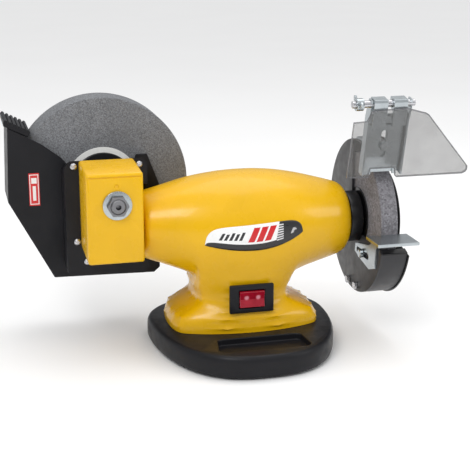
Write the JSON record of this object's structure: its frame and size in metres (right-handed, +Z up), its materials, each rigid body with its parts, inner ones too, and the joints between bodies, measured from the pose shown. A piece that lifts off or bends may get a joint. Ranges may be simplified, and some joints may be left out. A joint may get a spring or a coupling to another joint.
{
  "type": "bench grinder",
  "caption": "Wet and dry bench grinder: motor housing on a base, guarded dry wheel with rest and eye shield, slow water stone driven through a worm gearbox.",
  "frame": {"origin": "middle of the whole machine's plan box, at the underside of the rubber feet", "axes": "+X along the motor shaft towards the dry wheel, -Y towards the user, +Z up"},
  "size_m": [0.511, 0.252, 0.2948],
  "materials": {
    "yellow_paint": "glossy yellow paint",
    "black_plastic": "black moulded plastic, satin",
    "black_paint": "black paint, semi-gloss",
    "foot_rubber": "matt black rubber",
    "steel": "machined steel",
    "zinc": "bright zinc plate",
    "lamination": "stacked electrical steel",
    "copper": "varnished copper winding",
    "aluminium": "cast aluminium",
    "bronze": "machined bronze",
    "wet_grit": "fine grey bonded abrasive",
    "dry_grit": "coarse grey bonded abrasive",
    "blotter_paper": "white blotter card",
    "red_plastic": "clear red rocker",
    "red_label": "red printed label",
    "rating_label": "white, black and red printed label, abstract pattern",
    "clear_shield": "clear polycarbonate"
  },
  "bodies": {
    "machine": {"base_plate": "black_plastic", "bearing_left": "steel", "bearing_right": "steel", "cable_gland": "black_plastic", "case_screw_1": "steel", "case_screw_2": "steel", "case_screw_3": "steel", "case_screw_4": "steel", "deflector_screw": "zinc", "drip_ledge": "black_plastic", "end_bell_left": "aluminium", "end_bell_right": "aluminium", "front_bush": "bronze", "gearbox_case": "black_plastic", "gearbox_cover": "yellow_paint", "gearbox_spigot": "black_paint", "guard_bolt_1": "steel", "guard_bolt_2": "steel", "guard_cover": "black_paint", "hinge_rod": "steel", "motor_housing": "yellow_paint", "motor_label": "rating_label", "rear_bush": "bronze", "rest_screw": "zinc", "rubber_foot_1": "foot_rubber", "rubber_foot_2": "foot_rubber", "rubber_foot_3": "foot_rubber", "rubber_foot_4": "foot_rubber", "run_capacitor": "aluminium", "shield_bracket": "zinc", "stator_core": "lamination", "switch_frame": "black_plastic", "tank_label": "red_label", "water_tank": "black_plastic", "wheel_guard": "black_paint", "winding_left": "copper", "winding_right": "copper"},
    "rotor": {"rotor_shaft": "steel", "rotor_core": "lamination", "worm": "steel", "dry_wheel": "dry_grit", "wheel_flange_inner": "black_paint", "wheel_flange_outer": "black_paint", "wheel_nut": "steel"},
    "stone": {"worm_wheel": "bronze", "wet_axle": "steel", "wet_stone": "wet_grit", "stone_blotter": "blotter_paper", "stone_flange_front": "black_paint", "stone_flange_rear": "black_paint", "stone_nut": "steel", "axle_washer": "zinc", "axle_nut": "steel"},
    "rocker": {"switch_rocker": "red_plastic"},
    "rest": {"tool_rest": "zinc"},
    "deflector": {"spark_deflector": "zinc"},
    "shield": {"eye_shield": "clear_shield", "shield_clamp_left": "zinc", "shield_clamp_right": "zinc"},
    "wing": {"wing_nut": "zinc"}
  },
  "joints": [
    {"name": "stone_spin", "type": "hinge", "parent": "machine", "child": "stone", "pos_m": [-0.1445, 0.009, 0.183], "axis": [0, 1, 0], "continuous": true},
    {"name": "rotor_spin", "type": "hinge", "parent": "machine", "child": "rotor", "pos_m": [0.0045, 0.009, 0.141], "axis": [1, 0, 0], "continuous": true},
    {"name": "switch_rock", "type": "hinge", "parent": "machine", "child": "rocker", "pos_m": [0.003, -0.0465, 0.0685], "axis": [1, 0, 0], "range_deg": [-8, 8]},
    {"name": "rest_slide", "type": "slide", "parent": "machine", "child": "rest", "axis": [0, 1, 0], "range_m": [-0.012, 0.003]},
    {"name": "deflector_slide", "type": "slide", "parent": "machine", "child": "deflector", "axis": [0, -0.2419, 0.9703], "range_m": [-0.008, 0.008]},
    {"name": "shield_tilt", "type": "hinge", "parent": "machine", "child": "shield", "pos_m": [0.1555, -0.0656, 0.28563], "axis": [-1, 0, 0], "range_deg": [0, 70]},
    {"name": "wing_nut_turn", "type": "hinge", "parent": "machine", "child": "wing", "pos_m": [0.119, -0.0656, 0.28563], "axis": [1, 0, 0], "continuous": true}
  ],
  "couplings": [
    {"joint": "rotor_spin", "follows": "stone_spin", "ratio": 24}
  ]
}
